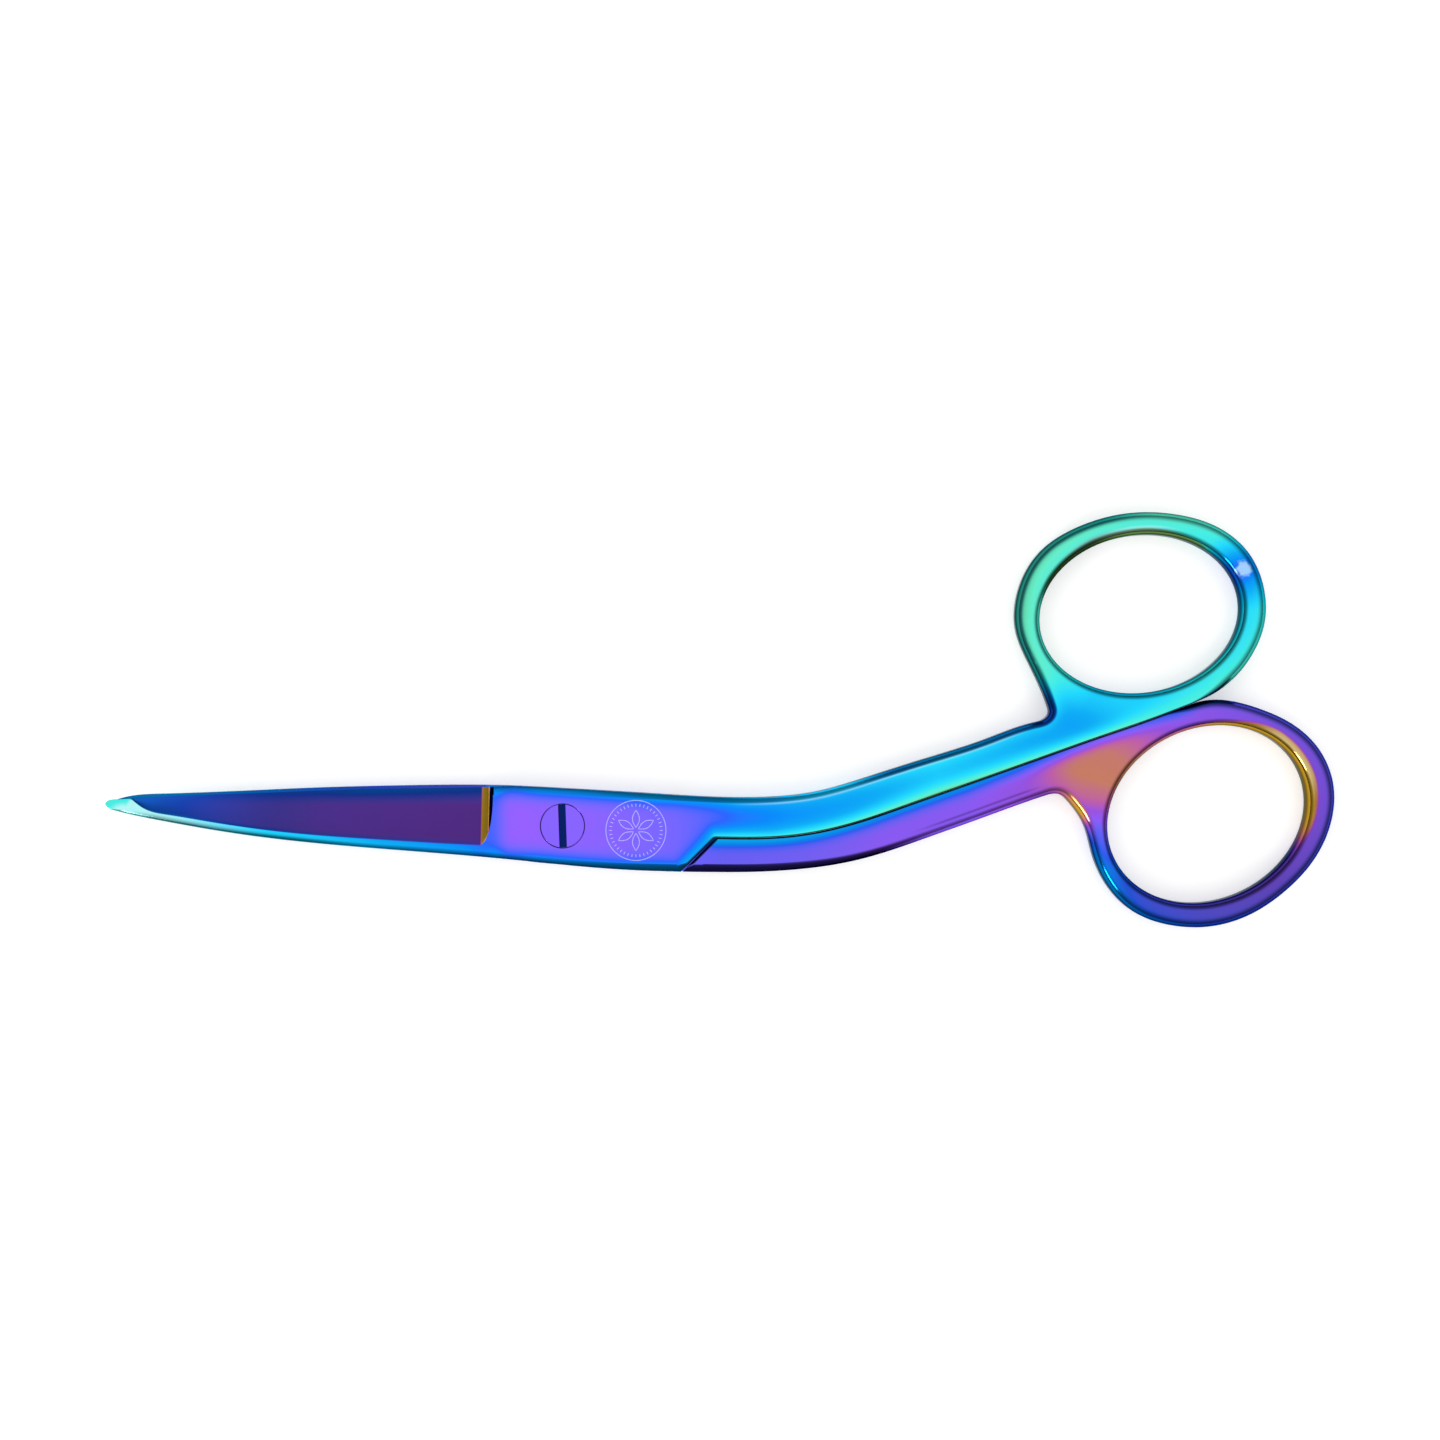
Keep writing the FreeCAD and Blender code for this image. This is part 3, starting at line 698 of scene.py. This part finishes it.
class Nodes:
    """Short names for building a material's nodes."""

    def __init__(self, name):
        self.material = bpy.data.materials.new(name)
        self.material.use_nodes = True
        self.tree = self.material.node_tree
        self.shader = self.tree.nodes["Principled BSDF"]

    def new(self, kind, **settings):
        node = self.tree.nodes.new(kind)
        for key, value in settings.items():
            setattr(node, key, value)
        return node

    def link(self, source, socket):
        if isinstance(source, (int, float)):
            socket.default_value = source
        else:
            self.tree.links.new(source, socket)

    def math(self, operation, a, b=0.0, c=0.0, clamp=False):
        node = self.new("ShaderNodeMath", operation=operation, use_clamp=clamp)
        for value, socket in zip((a, b, c), node.inputs):
            self.link(value, socket)
        return node.outputs[0]

    def total(self, *values):
        result = values[0]
        for value in values[1:]:
            result = self.math("ADD", result, value)
        return result

    def times(self, a, b):
        return self.math("MULTIPLY", a, b)

    def minus(self, a, b):
        return self.math("SUBTRACT", a, b)

    def ease(self, value, low, high, to_low=0.0, to_high=1.0):
        node = self.new("ShaderNodeMapRange", interpolation_type="SMOOTHSTEP")
        keys = ("Value", "From Min", "From Max", "To Min", "To Max")
        for key, number in zip(keys, (value, low, high, to_low, to_high)):
            self.link(number, node.inputs[key])
        return node.outputs[0]

    def fade(self, distance, reach):
        """1 at distance 0, falling smoothly with the reach given."""
        return self.math("EXPONENT", self.times(distance, -1.0 / reach))

    def field(self, name):
        return self.new("ShaderNodeAttribute", attribute_name=name).outputs["Fac"]

    def place(self):
        """x, y, z of the point in millimetres, in the piece's own frame."""
        coords = self.new("ShaderNodeTexCoord").outputs["Object"]
        split = self.new("ShaderNodeSeparateXYZ")
        self.tree.links.new(coords, split.inputs[0])
        return [self.times(split.outputs[k], 1000.0) for k in range(3)]

    def facing(self):
        """The x, y and z parts of the normal in the piece's own frame."""
        normal = self.new("ShaderNodeTexCoord").outputs["Normal"]
        split = self.new("ShaderNodeSeparateXYZ")
        self.tree.links.new(normal, split.inputs[0])
        return [split.outputs[k] for k in range(3)]

    def ramp(self, value, stops):
        node = self.new("ShaderNodeValToRGB")
        elements = node.color_ramp.elements
        while len(elements) < len(stops):
            elements.new(0.5)
        for element, (position, colour) in zip(elements, stops):
            element.position = position
            element.color = colour
        self.link(value, node.inputs[0])
        return node.outputs[0]

    def bearing(self, x, y, centre):
        """The direction from a centre, in degrees from -180 to 180, with 0 along X."""
        dx = self.minus(x, centre[0])
        dy = self.minus(y, centre[1])
        return self.times(self.math("ARCTAN2", dy, dx), 180 / math.pi)

    def curve(self, value, stops):
        """Numbers that change with value, as (place, number) stops in rising order of place."""
        low, high = stops[0][0], stops[-1][0]
        shares = [((place - low) / (high - low), (number, number, number, 1)) for place, number in stops]
        share = self.math("DIVIDE", self.minus(value, low), high - low, clamp=True)
        colour = self.ramp(share, shares)
        return self.times(colour, 1.0)

    def mixed(self, first, second, share):
        node = self.new("ShaderNodeMix", data_type="RGBA")
        self.link(share, node.inputs["Factor"])
        self.link(first, node.inputs["A"])
        node.inputs["B"].default_value = second
        return node.outputs["Result"]

    def darken(self, colour, value):
        node = self.new("ShaderNodeMix", data_type="RGBA", blend_type="MULTIPLY")
        node.inputs["Factor"].default_value = 1.0
        self.link(colour, node.inputs["A"])
        self.link(value, node.inputs["B"])
        return node.outputs["Result"]

    def noise(self, scale, stretch=(1, 1, 1), detail=2.0):
        coords = self.new("ShaderNodeTexCoord").outputs["Object"]
        mapping = self.new("ShaderNodeMapping")
        mapping.inputs["Scale"].default_value = [v * 1000.0 for v in stretch]
        self.tree.links.new(coords, mapping.inputs["Vector"])
        texture = self.new("ShaderNodeTexNoise")
        texture.inputs["Scale"].default_value = scale
        texture.inputs["Detail"].default_value = detail
        self.tree.links.new(mapping.outputs[0], texture.inputs["Vector"])
        return texture.outputs["Fac"]

    def bump(self, height, strength, distance):
        node = self.new("ShaderNodeBump")
        node.inputs["Strength"].default_value = strength
        node.inputs["Distance"].default_value = distance
        self.link(height, node.inputs["Height"])
        self.tree.links.new(node.outputs[0], self.shader.inputs["Normal"])


def colour(text):
    """A linear colour from a hexadecimal one."""
    values = [int(text[i:i + 2], 16) / 255 for i in (0, 2, 4)]
    return tuple(v / 12.92 if v <= 0.04045 else ((v + 0.055) / 1.055) ** 2.4 for v in values) + (1.0,)


# The coating's colours in order of its thickness, from gold through violet, blue and green to olive.
FILM = [(0.0, "b08a28"), (0.1, "c88058"), (0.2, "c060a8"), (0.28, "9a54e0"), (0.34, "905cf8"),
        (0.38, "7a62f8"), (0.44, "5a62fa"), (0.5, "2a60f6"), (0.56, "0a84f2"), (0.64, "0ea6ec"),
        (0.72, "20d0f4"), (0.8, "40e4dc"), (0.88, "60e4c4"), (0.95, "60c080"), (1.0, "a0a030")]
# The pale colour of bare steel at the rack mark, also used for painted highlights on the plain half
BARE_STEEL_AND_HIGHLIGHT = (0.6, 0.9, 0.93, 1.0)
# The pale gold of a painted highlight on the lower ring's upper inner wall
GOLD_HIGHLIGHT = (0.95, 0.72, 0.36, 1.0)
EDGE_TINT = (0.3, 0.36, 0.4, 1.0)          # the share that is reflected at a near-grazing angle
RACK_MARK = (84.0, 31.7)   # the small bare spot where a rack held the ring during coating


def rainbow(name, film, pale=BARE_STEEL_AND_HIGHLIGHT):
    """Polished steel under the coating. film gives, by place, the coating's thickness from 0 to 1, the
    painted shade and light, and how far the colour turns pale: bare steel at the rack mark, painted
    highlights elsewhere."""
    n = Nodes(name)
    thickness, shade, highlight_and_bare = film(n)
    tone = n.ramp(thickness, [(place, colour(text)) for place, text in FILM])
    n.link(n.darken(n.mixed(tone, pale, highlight_and_bare), shade), n.shader.inputs["Base Color"])
    n.shader.inputs["Metallic"].default_value = 1.0
    n.shader.inputs["Specular Tint"].default_value = EDGE_TINT
    scuffs = n.noise(0.6, (0.15, 1.0, 1.0), 6.0)
    n.link(n.ease(scuffs, 0.3, 0.75, 0.10, 0.19), n.shader.inputs["Roughness"])
    n.bump(n.noise(1.4, (0.2, 1.0, 1.0), 3.0), 0.05, 0.0002)
    return n.material


def without(n, amount):
    """What is left of 1 once the amount is taken away."""
    return n.minus(1.0, amount)


def steepness(n):
    """0 on a face, 1 on an upright wall."""
    return without(n, n.math("ABSOLUTE", n.facing()[2]))


def edge_shade(n, steep, depth=0.55):
    """Darker where the surface turns away from the face. depth is the share left on a bevel."""
    return n.times(n.ease(steep, 0.02, 0.34, 0.82, depth), n.ease(steep, 0.35, 0.9, 1.0, 0.35))


def window(n, value, start, full, last, end):
    """0 up to start, 1 from full to last, and 0 again from end on."""
    return n.times(n.ease(value, start, full), n.ease(value, end, last))


def blend(n, a, b, share):
    """a where share is 0, b where it is 1."""
    return n.total(n.times(a, without(n, share)), n.times(b, share))


def near(n, distance, reach):
    """1 at distance 0, falling along a bell curve with the reach given."""
    return n.math("EXPONENT", n.times(n.math("POWER", n.times(distance, 1.0 / reach), 2.0), -1.0))


def spot(n, x, y, centre, reach):
    """1 at the centre, falling to 0 around it."""
    square = n.total(n.math("POWER", n.minus(x, centre[0]), 2.0),
                     n.math("POWER", n.minus(y, centre[1]), 2.0))
    return n.math("EXPONENT", n.times(square, -1.0 / reach ** 2))


# ---- the plain half's coating: thickness or shade by place, along x in mm or by bearing in degrees ----
PLAIN_ALONG = [(-57, 0.80), (-52, 0.77), (-46, 0.72), (-36, 0.68), (-25, 0.62), (-12, 0.54), (-8.3, 0.46),
               (-6.8, 0.35), (-5.5, 0.34), (0, 0.35), (8, 0.37), (14, 0.40), (18, 0.45), (22, 0.52),
               (28, 0.575), (36, 0.61), (46, 0.68), (56, 0.64), (62, 0.61), (90, 0.61)]
UPPER_RING_FILM = [(-180, 0.87), (-150, 0.83), (-120, 0.70), (-90, 0.70), (-60, 0.75), (-38, 0.78),
                   (-20, 0.76), (2, 0.73), (13, 0.62), (20, 0.52), (27, 0.52), (34, 0.64), (46, 0.78),
                   (65, 0.81), (90, 0.81), (120, 0.84), (150, 0.86), (180, 0.87)]
PLAIN_EDGE_RISE = [(-57, 0.02), (-10, 0.06), (-7, 0.20), (-3, 0.26), (12, 0.26), (18, 0.18), (26, 0.09),
                   (90, 0.07)]
OLIVE_REACH = [(-180, 0.0), (20, 0.0), (50, 0.5), (85, 0.95), (125, 0.95), (160, 0.7), (180, 0.1)]
FACET_ALONG = [(-57, 0.56), (-52, 0.53), (-47, 0.50), (-40, 0.43), (-30, 0.35), (-14, 0.31), (-8, 0.30)]
OLIVE = 0.98               # the thickness whose colour is olive
CROTCH_CORNER = (59.6, 14.6)


def upper_ring_share(n, x, y, low, high):
    """0 on the shank's side of a slanting strip and 1 on the ring's, or the reverse if low is above high."""
    return n.ease(n.total(n.times(x, 0.35), y), low, high)


def plain_body(n, x, y, bearing):
    """The thickness away from the facet, with more of it along the edges and the parting line."""
    on_ring = upper_ring_share(n, x, y, 34.0, 40.0)
    edge = n.times(near(n, n.field("edge_mm"), 1.35), n.curve(x, PLAIN_EDGE_RISE))
    seam_rise = n.times(n.ease(x, 20, 50, 0.16, 0.25), n.ease(x, 76, 68))
    seam = n.times(n.fade(n.field("seam_mm"), 0.5), seam_rise)
    along = n.curve(x, PLAIN_ALONG)
    return n.total(blend(n, along, n.curve(bearing, UPPER_RING_FILM), on_ring), edge, seam)


def facet_film(n, x, share):
    """The ground facet's thickness, with a rise beside its ridge and along the cutting edge."""
    by_ridge = n.ease(share, 0.14, 0.02, 0.0, 0.08)
    by_edge = n.times(n.ease(share, 0.65, 1.0), n.ease(x, -52, -20, 0.0, 0.22))
    return n.total(n.curve(x, FACET_ALONG), by_ridge, by_edge)


def plain_shade(n, x, y, steep, from_seam):
    """Darker bevels, darkest under the joint and lighter on the bend of the shank."""
    joint_low = n.times(n.ease(y, -1.5, -3.0), window(n, x, -30, 0, 15, 17))
    shank_high = n.times(window(n, x, 20, 28, 34, 42), from_seam)
    depth = n.total(0.55, n.times(joint_low, -0.47), n.times(shank_high, 0.4))
    return edge_shade(n, steep, depth)


def plain_walls(n, x, y, steep, in_facet, from_seam):
    """Masks for painted shade on the blade's spine, the ring's outer wall, the shank's upper wall and the
    crotch;
    the last three also thin the coating.
    """
    low_side = n.ease(n.field("edge_mm"), 0.8, 0.3)
    spine = n.times(n.times(without(n, in_facet), window(n, x, -54, -50, -34, -22)), low_side)
    outside = n.times(upper_ring_share(n, x, y, 36.0, 40.0), n.ease(n.field("hole_mm"), 1.5, 2.2))
    ring = n.times(n.times(outside, n.ease(steep, 0.02, 0.2)), n.ease(x, 74, 66))
    shank = n.times(n.times(window(n, x, 34, 42, 60, 64), from_seam), n.ease(steep, 0.03, 0.15))
    shank = n.times(shank, upper_ring_share(n, x, y, 40.0, 36.0))
    corner = n.times(spot(n, x, y, CROTCH_CORNER, 2.2), n.ease(steep, 0.02, 0.15))
    return spine, ring, shank, corner


def plain_pale(n, x, y, bearing, in_facet, from_seam):
    """How far the colour turns pale: painted highlights at the tip, in a crease on the shank and in a streak
    in the ring's hole, and bare steel at the rack mark on the ring.
    """
    ridge = n.times(without(n, in_facet), n.ease(n.field("edge_mm"), 0.08, 0.3))
    # Painted highlight: the strip beside the ridge turns pale towards the tip
    tip = n.times(n.ease(x, -36, -53, 0.0, 0.65), ridge)
    crease = n.times(near(n, n.minus(n.field("edge_mm"), 0.78), 0.13), from_seam)
    glint = n.times(n.times(crease, window(n, x, 20, 28, 54, 58)), 0.3)
    ragged = n.times(n.minus(n.noise(1.6), 0.5), 0.8)
    patch = n.ease(n.total(spot(n, x, y, RACK_MARK, 1.25), ragged), 0.4, 0.8, 0.0, 0.55)
    highlight_streak = n.times(window(n, n.field("hole_mm"), 0.25, 0.5, 0.8, 1.2), window(n, bearing, 60, 85, 125, 150))
    return n.total(n.math("MAXIMUM", tip, patch), glint, n.times(highlight_streak, 0.35))


def plain_film(n):
    x, y, _ = n.place()
    steep = steepness(n)
    bearing = n.bearing(x, y, UPPER_HOLE[0])
    share = n.field("facet_share")
    in_facet = n.ease(share, 0.0, 0.03)
    from_seam = n.ease(n.field("seam_mm"), 1.5, 2.5)
    inner_wall = n.ease(n.minus(n.field("hole_mm"), n.curve(bearing, OLIVE_REACH)), 0.35, -0.35)
    olive = n.times(n.times(inner_wall, OLIVE), n.ease(bearing, 20, 50))
    outside = n.math("MAXIMUM", plain_body(n, x, y, bearing), olive)
    gold = window(n, x, -10.2, -9.95, -9.2, -8.95)
    thickness = blend(n, outside, blend(n, facet_film(n, x, share), 0.0, gold), in_facet)
    spine, ring, shank, corner = plain_walls(n, x, y, steep, in_facet, from_seam)
    thinner = n.total(n.times(ring, 0.1), n.times(shank, 0.12), n.times(corner, 0.1))
    thickness = n.minus(thickness, thinner)

    lit_gold = n.times(gold, n.ease(x, -9.9, -9.2, 0.6, 1.9))
    facet_shade = n.total(1.0, n.times(in_facet, n.total(n.ease(x, -54, -34, -0.45, -0.75), lit_gold)))
    # Painted shade on the spine, the ring's outer wall, the shank's upper wall and the crotch, and a painted
    # shadow on the hole's upper-left wall
    walls = without(n, n.total(n.times(spine, 0.5), n.times(ring, 0.55), n.times(shank, 0.35),
                               n.times(corner, 0.3)))
    shadow = n.times(inner_wall, window(n, bearing, 95, 130, 168, 180))
    walls = n.times(walls, without(n, n.times(shadow, 0.75)))
    shade = n.times(n.times(plain_shade(n, x, y, steep, from_seam), facet_shade), walls)
    return thickness, shade, plain_pale(n, x, y, bearing, in_facet, from_seam)


# ---- the comb half's coating ----
COMB_ALONG = [(-57, 0.74), (-40, 0.67), (-25, 0.60), (-8, 0.54), (0, 0.45), (15, 0.42), (20, 0.41),
              (30, 0.39), (40, 0.345), (50, 0.345), (58, 0.28), (96, 0.27)]
LOWER_RING_FILM = [(-180, 0.30), (-172, 0.40), (-150, 0.53), (-128, 0.47), (-97, 0.42), (-49, 0.36),
                   (0, 0.345), (79, 0.34), (108, 0.31), (130, 0.22), (148, 0.12), (163, 0.11), (172, 0.18),
                   (180, 0.30)]
GOLD_REACH = [(-180, 0.0), (-35, 0.0), (0, 0.8), (20, 1.1), (50, 1.1), (75, 0.45), (100, 0.15), (150, 0.1),
              (180, 0.0)]
COMB_SHADE = [(-57, 0.75), (0, 0.75), (12, 1.0), (20, 0.85), (50, 0.85), (66, 0.9), (96, 0.9)]
LOWER_RING_SHADE = [(-180, 0.9), (-150, 0.72), (-120, 0.57), (-90, 0.5), (-45, 0.45), (0, 0.6), (60, 0.7),
                    (130, 0.9), (180, 0.9)]
GOLD_FLANK = (63.2, 1.8)   # the middle of the gold patch in the lower crotch


def comb_body(n, x, bearing):
    """The thickness, with more of it along the parting line and the lower ring's edges."""
    on_ring = n.ease(x, 56, 64)
    seam = n.times(near(n, n.field("seam_mm"), 1.1), n.ease(x, 60, 72, 0.24, 0.10))
    edge = n.times(n.times(near(n, n.field("edge_mm"), 0.9), 0.10), on_ring)
    along = n.curve(x, COMB_ALONG)
    return n.total(blend(n, along, n.curve(bearing, LOWER_RING_FILM), on_ring), seam, edge)


def comb_painted_shade(n, x, z, steep, shank_low):
    """Painted shade: a darker line along the shank's crease, the comb's mating face beside the plain blade,
    and the dark low bevel. Also gives the mating face's mask, which thins the coating there.
    """
    crease = n.times(near(n, n.minus(n.field("edge_mm"), 1.25), 0.15), window(n, x, 42, 48, 56, 60))
    line = n.times(crease, n.ease(n.field("seam_mm"), 1.8, 2.6, 0.0, 0.45))
    mating = n.times(n.ease(z, COMB_FACE - 0.1, COMB_FACE - 0.01), n.ease(x, -9.0, -10.5))
    low_bevel = n.times(shank_low, n.ease(steep, 0.05, 0.18))
    dark = n.total(n.times(mating, 0.45), n.times(low_bevel, 0.5))
    return n.times(without(n, line), without(n, dark)), mating


def comb_film(n):
    x, y, z = n.place()
    steep = steepness(n)
    bearing = n.bearing(x, y, LOWER_HOLE[0])
    from_gold = n.minus(n.field("hole_mm"), n.curve(bearing, GOLD_REACH))
    wall = n.times(n.ease(from_gold, 0.45, -0.25), window(n, bearing, -30, 0, 140, 170))
    flank = n.times(spot(n, x, y, GOLD_FLANK, 2.6), n.ease(steep, 0.02, 0.15))
    gold = n.math("MAXIMUM", wall, flank)
    shank_low = window(n, x, 12, 15, 38, 46)
    painted_shade, mating = comb_painted_shade(n, x, z, steep, shank_low)
    thickness = blend(n, comb_body(n, x, bearing), 0.0, gold)
    thickness = n.minus(thickness, n.times(mating, 0.1))

    shade = blend(n, n.curve(x, COMB_SHADE), n.curve(bearing, LOWER_RING_SHADE), n.ease(x, 64, 70))
    # Painted light: the gold walls are brightened
    lit_wall = n.times(gold, n.ease(steep, 0.02, 0.2, 0.0, 0.7))
    depth = n.total(0.55, n.times(shank_low, -0.52), n.times(window(n, x, 42, 50, 55, 60), 0.3))
    shade = n.times(n.total(n.times(edge_shade(n, steep, depth), shade), lit_wall), painted_shade)
    # Painted highlight: the upper inner wall of the lower ring turns pale gold
    upper_wall = n.times(wall, window(n, bearing, 5, 25, 45, 65))
    pale = n.times(upper_wall, window(n, n.field("hole_mm"), 0.4, 0.7, 1.0, 1.4))
    return thickness, shade, n.times(pale, 0.7)


def screw_film(n):
    """Painted shade darkens the slot, as deep narrow places are in shade."""
    z = n.place()[2]
    shade = n.times(edge_shade(n, steepness(n)), n.ease(z, 3.9, 4.35, 0.12, 1.0))
    return n.ease(z, 3.8, 4.3, 0.5, 0.365), shade, 0.0


def etched_line():
    n = Nodes("etched_line")
    grain = n.noise(6.0)
    tone = n.ramp(grain, [(0.3, (0.36, 0.37, 0.85, 1)), (0.7, (0.48, 0.5, 0.95, 1))])
    n.link(tone, n.shader.inputs["Base Color"])
    n.shader.inputs["Metallic"].default_value = 0.6
    n.link(n.ease(grain, 0.2, 0.8, 0.4, 0.6), n.shader.inputs["Roughness"])
    return n.material


def nylon():
    n = Nodes("nylon")
    grain = n.noise(2.0)
    tone = n.ramp(grain, [(0.3, (0.62, 0.6, 0.55, 1)), (0.7, (0.72, 0.7, 0.66, 1))])
    n.link(tone, n.shader.inputs["Base Color"])
    n.link(n.ease(grain, 0.2, 0.8, 0.45, 0.6), n.shader.inputs["Roughness"])
    n.bump(grain, 0.1, 0.0001)
    return n.material


# ---- studio ----

def studio():
    """A pale floor, and soft light from above that falls off towards the horizon."""
    bpy.ops.mesh.primitive_plane_add(size=2.0, location=(0, 0, -0.0005))
    floor = bpy.context.object
    floor.name = "floor"
    n = Nodes("floor_paper")
    grain = n.noise(0.2)
    tone = n.ramp(grain, [(0.0, (0.79, 0.79, 0.79, 1)), (1.0, (0.81, 0.81, 0.81, 1))])
    n.link(tone, n.shader.inputs["Base Color"])
    n.shader.inputs["Roughness"].default_value = 0.9
    n.shader.inputs["Emission Color"].default_value = (1, 1, 1, 1)
    n.shader.inputs["Emission Strength"].default_value = FLOOR_GLOW
    floor.data.materials.append(n.material)

    world = bpy.data.worlds.new("studio")
    bpy.context.scene.world = world
    world.use_nodes = True
    tree = world.node_tree
    background = tree.nodes["Background"]
    coords = tree.nodes.new("ShaderNodeTexCoord")
    split = tree.nodes.new("ShaderNodeSeparateXYZ")
    ramp = tree.nodes.new("ShaderNodeValToRGB")
    tree.links.new(coords.outputs["Generated"], split.inputs[0])
    tree.links.new(split.outputs["Z"], ramp.inputs[0])
    elements = ramp.color_ramp.elements
    while len(elements) < len(WORLD_LEVELS):
        elements.new(0.5)
    for element, (position, level) in zip(elements, WORLD_LEVELS):
        element.position = position
        element.color = (level, level, level, 1)
    tree.links.new(ramp.outputs[0], background.inputs[0])
    background.inputs[1].default_value = WORLD_STRENGTH


def soft_box():
    """A small low light from the left and below, whose glints lie on the walls that face it."""
    light = bpy.data.lights.new("soft_box", "AREA")
    light.shape = "RECTANGLE"
    light.size, light.size_y = BOX_SIZE
    light.energy = BOX_POWER
    lamp = bpy.data.objects.new("soft_box", light)
    bpy.context.scene.collection.objects.link(lamp)
    lamp.location = BOX_PLACE
    lamp.rotation_euler = (Vector(BOX_TARGET) - lamp.location).to_track_quat("-Z", "Y").to_euler()


def camera():
    """Straight above, with the frame's middle where the photograph's is on the shears."""
    data = bpy.data.cameras.new("camera")
    data.sensor_width = 36.0
    data.lens = data.sensor_width * CAMERA_HEIGHT / FRAME_WIDTH
    holder = bpy.data.objects.new("camera", data)
    bpy.context.scene.collection.objects.link(holder)
    holder.location = (FRAME_CENTRE[0] * MM, FRAME_CENTRE[1] * MM, (CAMERA_HEIGHT + THICKNESS / 2) * MM)
    bpy.context.scene.camera = holder


plain = plain_half()
comb = comb_half()
screw = flush_screw()
mark = etched_rosette()

plain.data.materials.append(rainbow("rainbow_plain", plain_film))
comb.data.materials.append(rainbow("rainbow_comb", comb_film, GOLD_HIGHLIGHT))
screw.data.materials.append(rainbow("rainbow_screw", screw_film))
mark.data.materials.append(etched_line())
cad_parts["pivot_washer"].data.materials.clear()
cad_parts["pivot_washer"].data.materials.append(nylon())

for piece, body, node, slot in ((plain, "plain_half", "plain_blade_half", "rainbow_steel"),
                                (comb, "comb_half", "comb_blade_half", "rainbow_steel"),
                                (screw, "screw", "pivot_screw", "rainbow_screw")):
    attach(piece, body)
    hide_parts(node)
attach(mark, "plain_half")

studio()
soft_box()
camera()
bpy.context.scene.view_settings.view_transform = "Standard"
